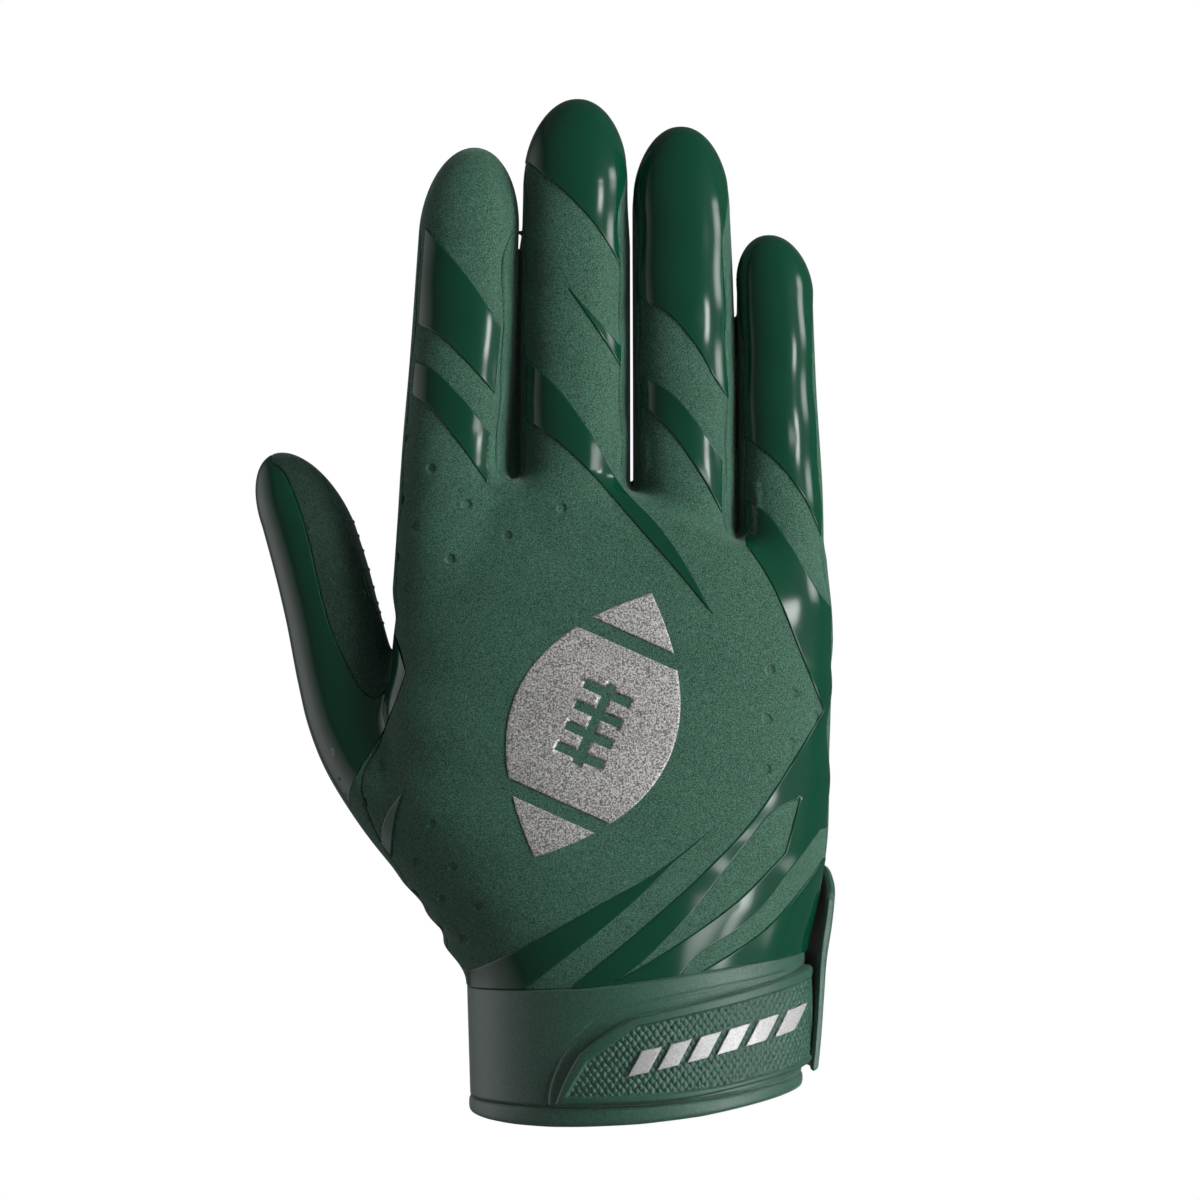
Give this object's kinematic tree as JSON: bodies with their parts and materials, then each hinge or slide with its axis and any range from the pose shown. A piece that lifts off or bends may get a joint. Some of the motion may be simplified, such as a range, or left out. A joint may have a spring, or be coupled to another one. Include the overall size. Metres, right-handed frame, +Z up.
{
  "type": "football glove",
  "caption": "Right-hand football receiver's glove in worn form: fabric shell with gloss facings on the back, grip palm, side strips, wrist cuff and closure strap with a flap.",
  "frame": {"origin": "centre of the cuff's open bottom, where the wrist goes in", "axes": "+Z up along the fingers, -Y out of the back of the hand, -X to the thumb"},
  "size_m": [0.1318, 0.0568, 0.2302],
  "materials": {
    "matte_fabric": "matte fine-grained stretch fabric, mid green",
    "gloss_facing": "very glossy dark green film",
    "grip_palm": "tacky satin dark green grip",
    "cuff_fabric": "finely grained green neoprene",
    "strap_rubber": "moulded green rubber",
    "silver_print": "speckled silver raised print"
  },
  "bodies": {
    "root": {"back_panel": "matte_fabric", "palm_panel": "grip_palm", "wrist_side_strip": "matte_fabric", "index_side_strip": "matte_fabric", "fourchette_index_middle": "matte_fabric", "fourchette_middle_ring": "matte_fabric", "fourchette_ring_little": "matte_fabric", "little_side_strip": "matte_fabric", "thumb_gusset": "matte_fabric", "thumb_back": "gloss_facing", "thumb_grip": "grip_palm", "index_upper_facing": "gloss_facing", "index_lower_facing": "gloss_facing", "middle_tip_facing": "gloss_facing", "middle_slash_facing": "gloss_facing", "middle_long_facing": "gloss_facing", "ring_tip_facing": "gloss_facing", "ring_middle_facing": "gloss_facing", "little_tip_facing": "gloss_facing", "outer_facing": "gloss_facing", "cuff_side_facing": "gloss_facing", "heel_facing": "gloss_facing", "thumb_slash_facing": "gloss_facing", "ball_middle": "silver_print", "ball_upper_end": "silver_print", "ball_lower_end": "silver_print", "cuff": "cuff_fabric", "cuff_hem": "cuff_fabric", "closure_strap": "strap_rubber", "strap_bar_1": "silver_print", "strap_bar_2": "silver_print", "strap_bar_3": "silver_print", "strap_bar_4": "silver_print", "strap_bar_5": "silver_print", "strap_bar_6": "silver_print", "strap_flap": "cuff_fabric"}
  },
  "joints": []
}
